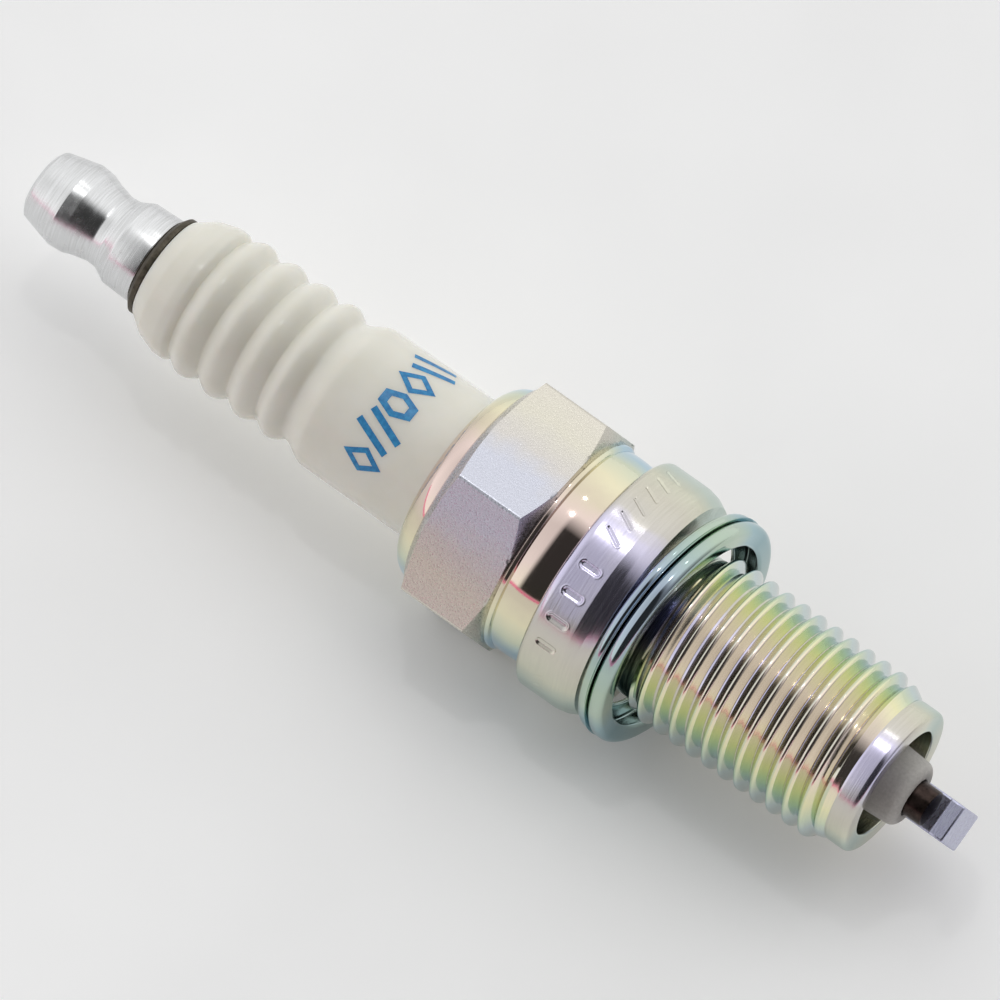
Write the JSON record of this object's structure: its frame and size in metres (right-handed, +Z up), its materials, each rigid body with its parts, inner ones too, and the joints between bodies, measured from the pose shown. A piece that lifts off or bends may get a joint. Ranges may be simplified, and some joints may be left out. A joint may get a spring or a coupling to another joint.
{
  "type": "resistor spark plug",
  "caption": "Spark plug for a motorcycle engine: ribbed ceramic insulator, plated steel shell with hexagon and fine thread, loose gasket, unscrewable terminal nut and bent ground electrode.",
  "frame": {"origin": "on the plug's axis, in the plane of the shell's gasket seat", "axes": "+X along the plug's axis towards the firing end; +Z up, square to two of the hexagon's flats; the plug lies on its side"},
  "size_m": [0.0714, 0.018, 0.0166],
  "materials": {
    "terminal_nut": "bright turned aluminium",
    "terminal_stud": "dark oxidised steel",
    "insulator": "glazed alumina, off-white; the nose unglazed",
    "glass_seal": "copper-filled sealing glass",
    "resistor": "fired carbon and glass resistor mass",
    "center_electrode": "nickel alloy, dull",
    "electrode_core": "copper",
    "shell": "plated and passivated steel with pale gold and pink tints",
    "packing_steel": "soft steel",
    "talc": "pressed talc powder",
    "gasket": "plated steel sheet, smooth, blue-grey",
    "ground_electrode": "nickel alloy strip"
  },
  "bodies": {
    "plug": {"terminal_stud": "terminal_stud", "insulator": "insulator", "upper_glass_seal": "glass_seal", "resistor": "resistor", "lower_glass_seal": "glass_seal", "center_electrode": "center_electrode", "electrode_core": "electrode_core", "shell": "shell", "upper_ring_packing": "packing_steel", "talc_filling": "talc", "lower_ring_packing": "packing_steel", "seat_packing": "packing_steel", "ground_electrode": "ground_electrode"},
    "nut": {"terminal_nut": "terminal_nut"},
    "loose_gasket": {"gasket": "gasket"}
  },
  "joints": [
    {"name": "terminal_nut_unscrew", "type": "slide", "parent": "plug", "child": "nut", "axis": [-1, 0, 0], "range_m": [0, 0.008]},
    {"name": "gasket_play", "type": "slide", "parent": "plug", "child": "loose_gasket", "axis": [1, 0, 0], "range_m": [-0.00005, 0.0005]}
  ]
}
